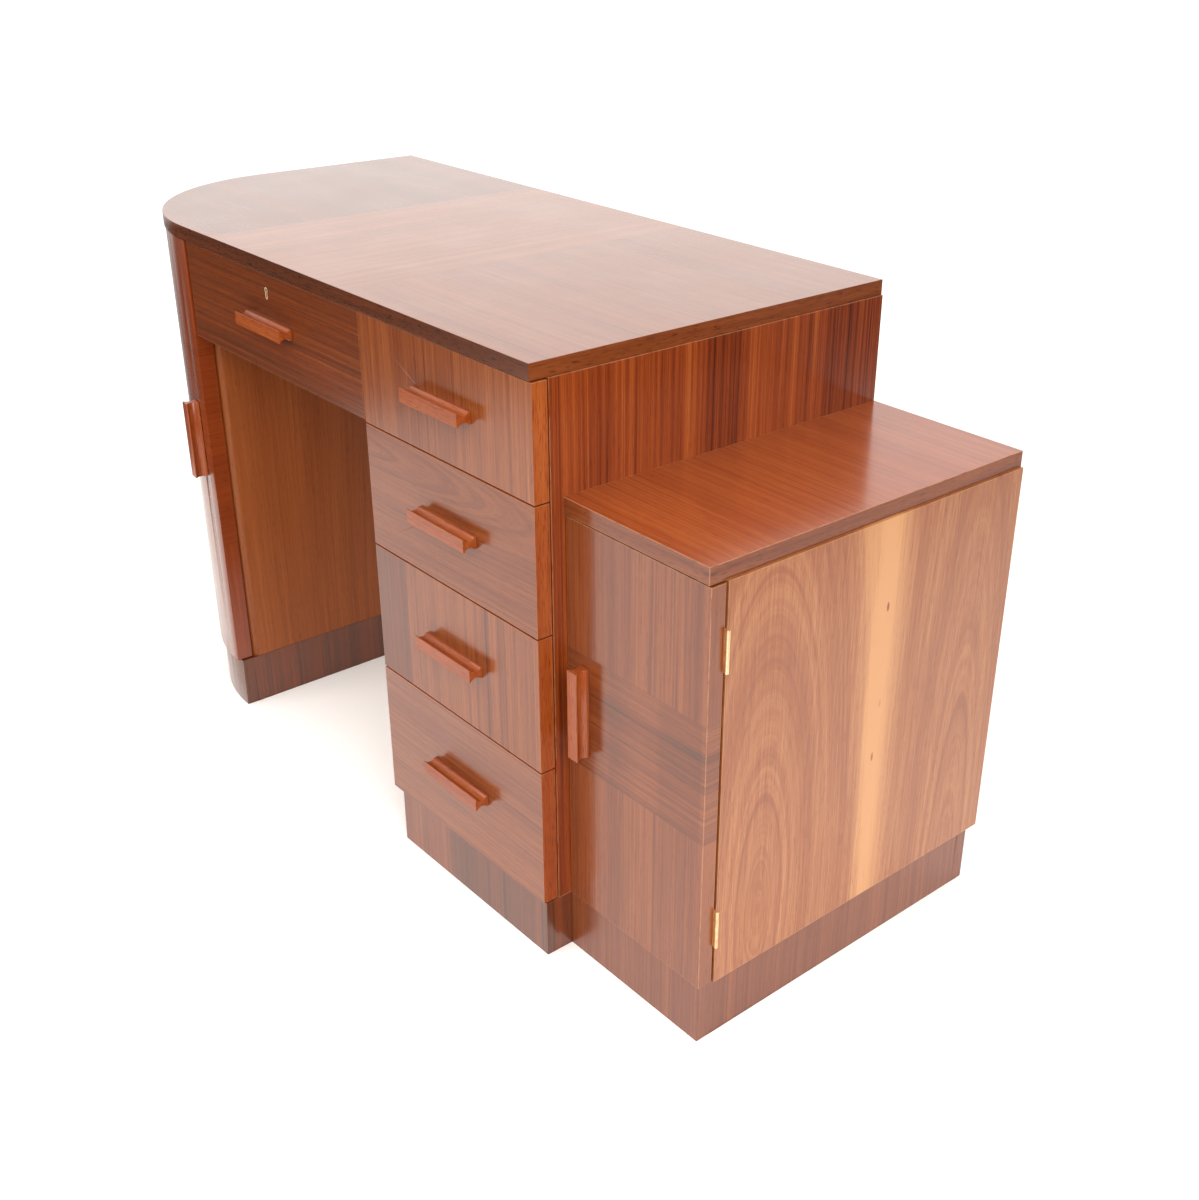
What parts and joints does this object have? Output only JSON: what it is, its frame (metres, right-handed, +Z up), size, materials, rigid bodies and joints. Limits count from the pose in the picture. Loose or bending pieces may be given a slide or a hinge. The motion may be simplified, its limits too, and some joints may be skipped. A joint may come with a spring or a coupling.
{
  "type": "writing desk with drawers",
  "caption": "Walnut-veneered writing desk: a rounded left end with a curved cupboard door, a kneehole with a locking drawer, a pedestal of drawers, and a lower side cabinet.",
  "frame": {"origin": "on the floor, under the middle of the desk's outline with handles and hinges included", "axes": "+X to the right along the front, towards the low cabinet; +Y back, so the drawers open towards -Y; +Z up"},
  "size_m": [1.2994, 0.5576, 0.76],
  "materials": {
    "walnut_veneer": "French-polished walnut veneer",
    "walnut_solid": "polished solid walnut",
    "carcase_timber": "sanded, unpolished hardwood",
    "plywood": "sanded plywood",
    "brass": "worn brass"
  },
  "bodies": {
    "carcase": {"main_top": "walnut_veneer", "lock_keep": "brass", "low_top": "walnut_veneer", "carcase_hinge_leaves": "brass", "hinge_pins": "brass", "carcase_hinge_screws": "brass", "shelves": "carcase_timber", "shelf_pins": "brass", "main_end_panel": "walnut_veneer", "pedestal_inner_panel": "walnut_veneer", "low_end_panel": "walnut_veneer", "cupboard_inner_panel": "walnut_veneer", "cupboard_outer_panel": "walnut_veneer", "back_panels": "plywood", "kneehole_apron": "walnut_veneer", "carcase_floors": "carcase_timber", "cupboard_floor": "carcase_timber", "dust_boards": "carcase_timber", "top_rails": "carcase_timber", "drawer_runners": "carcase_timber", "pedestal_plinth": "walnut_veneer", "low_plinth": "walnut_veneer", "cupboard_plinth": "walnut_veneer", "catch_bodies": "brass"},
    "bottom_drawer": {"bottom_drawer_front": "walnut_veneer", "bottom_drawer_box": "carcase_timber", "bottom_drawer_bottom": "plywood", "bottom_drawer_handle": "walnut_solid", "bottom_drawer_handle_screws": "brass"},
    "third_drawer": {"third_drawer_front": "walnut_veneer", "third_drawer_box": "carcase_timber", "third_drawer_bottom": "plywood", "third_drawer_handle": "walnut_solid", "third_drawer_handle_screws": "brass"},
    "second_drawer": {"second_drawer_front": "walnut_veneer", "second_drawer_box": "carcase_timber", "second_drawer_bottom": "plywood", "second_drawer_handle": "walnut_solid", "second_drawer_handle_screws": "brass"},
    "upper_drawer": {"upper_drawer_front": "walnut_veneer", "upper_drawer_box": "carcase_timber", "upper_drawer_bottom": "plywood", "upper_drawer_handle": "walnut_solid", "upper_drawer_handle_screws": "brass"},
    "kneehole_drawer": {"lock_case": "brass", "keyhole_escutcheon": "brass", "kneehole_drawer_front": "walnut_veneer", "kneehole_drawer_box": "carcase_timber", "kneehole_drawer_bottom": "plywood", "kneehole_drawer_handle": "walnut_solid", "kneehole_drawer_handle_screws": "brass"},
    "bolt": {"lock_bolt": "brass"},
    "low_door": {"low_door": "walnut_veneer", "low_door_handle": "walnut_solid", "low_door_fittings": "brass", "low_door_screws": "brass"},
    "curved_door": {"curved_door_handle": "walnut_solid", "curved_door_fittings": "brass", "curved_door": "walnut_veneer", "curved_door_screws": "brass"}
  },
  "joints": [
    {"name": "bottom_drawer_slide", "type": "slide", "parent": "carcase", "child": "bottom_drawer", "axis": [0, -1, 0], "range_m": [0, 0.36]},
    {"name": "third_drawer_slide", "type": "slide", "parent": "carcase", "child": "third_drawer", "axis": [0, -1, 0], "range_m": [0, 0.36]},
    {"name": "second_drawer_slide", "type": "slide", "parent": "carcase", "child": "second_drawer", "axis": [0, -1, 0], "range_m": [0, 0.36]},
    {"name": "upper_drawer_slide", "type": "slide", "parent": "carcase", "child": "upper_drawer", "axis": [0, -1, 0], "range_m": [0, 0.36]},
    {"name": "kneehole_drawer_slide", "type": "slide", "parent": "carcase", "child": "kneehole_drawer", "axis": [0, -1, 0], "range_m": [0, 0.36]},
    {"name": "low_door_hinge", "type": "hinge", "parent": "carcase", "child": "low_door", "pos_m": [0.64745, -0.19875, 0.332], "axis": [0, 0, 1], "range_deg": [0, 180]},
    {"name": "curved_door_hinge", "type": "hinge", "parent": "carcase", "child": "curved_door", "pos_m": [-0.64745, 0.02875, 0.41], "axis": [0, 0, -1], "range_deg": [0, 180]},
    {"name": "lock_bolt_slide", "type": "slide", "parent": "kneehole_drawer", "child": "bolt", "axis": [0, 0, 1], "range_m": [0, 0.006]}
  ]
}
